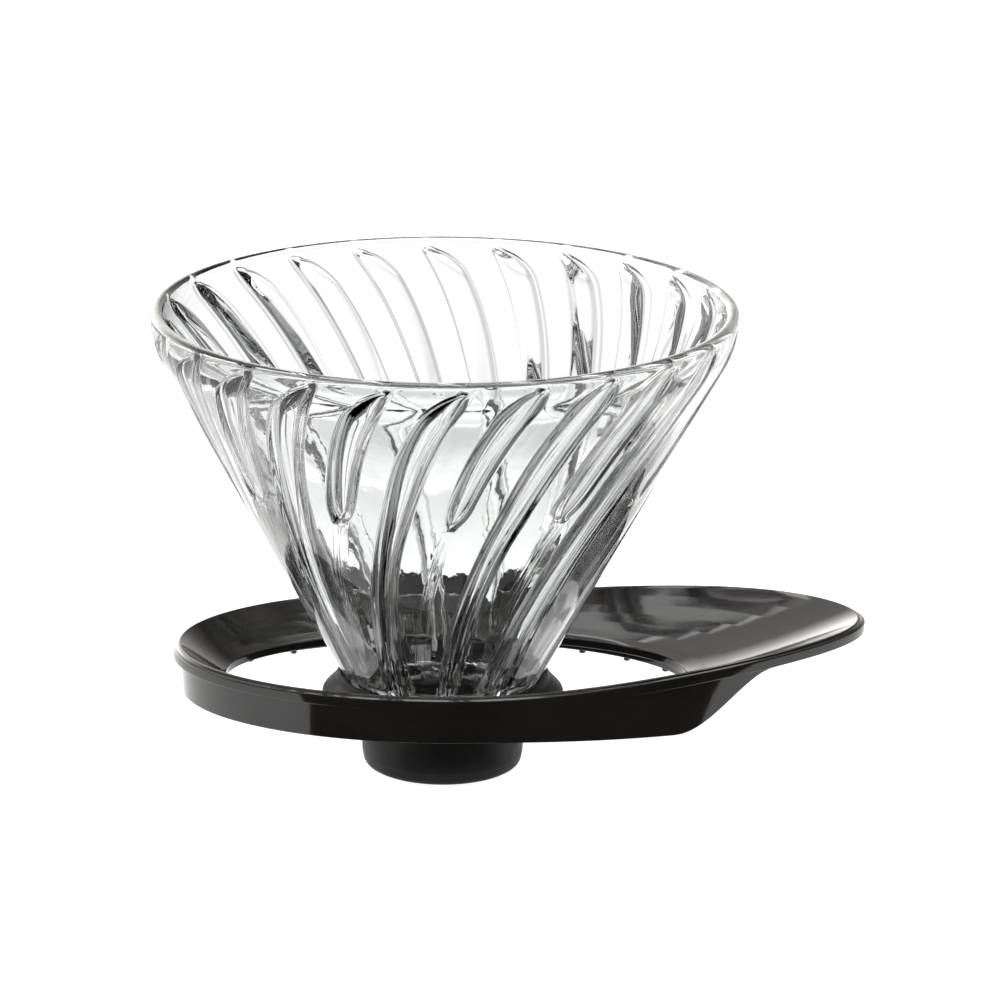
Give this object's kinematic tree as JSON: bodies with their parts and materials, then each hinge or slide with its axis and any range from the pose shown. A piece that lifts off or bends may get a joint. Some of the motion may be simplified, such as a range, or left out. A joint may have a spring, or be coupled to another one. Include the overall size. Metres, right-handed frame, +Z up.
{
  "type": "pour over dripper",
  "caption": "Ribbed glass cone dripper in a glossy black base with a side handle, held by a black screw collar at its outlet.",
  "frame": {"origin": "centre of the bounding box in plan, on the surface that the screw collar stands on", "axes": "+X along the handle, away from the cone, +Y across the handle towards the back of the pictured view, +Z up along the cone axis"},
  "size_m": [0.1426, 0.116, 0.0948],
  "materials": {
    "clear_glass": "clear pressed glass, fire polished",
    "gloss_black_resin": "glossy moulded resin, matt on the hub",
    "matte_black_resin": "matt fine texture",
    "silicone": "translucent silicone"
  },
  "bodies": {
    "base_body": {"base": "gloss_black_resin", "seat_gasket": "silicone"},
    "cone_body": {"glass_cone": "clear_glass"},
    "collar_body": {"screw_collar": "matte_black_resin"}
  },
  "joints": [
    {"name": "collar_turn", "type": "hinge", "parent": "base_body", "child": "collar_body", "pos_m": [-0.0133, 0, 0.006], "axis": [0, 0, -1], "range_deg": [0, 720]},
    {"name": "cone_rise", "type": "slide", "parent": "base_body", "child": "cone_body", "axis": [0, 0, 1], "range_m": [0, 0.008]}
  ],
  "couplings": [
    {"joint": "cone_rise", "follows": "collar_turn", "m_per_rad": 0.0006366}
  ]
}
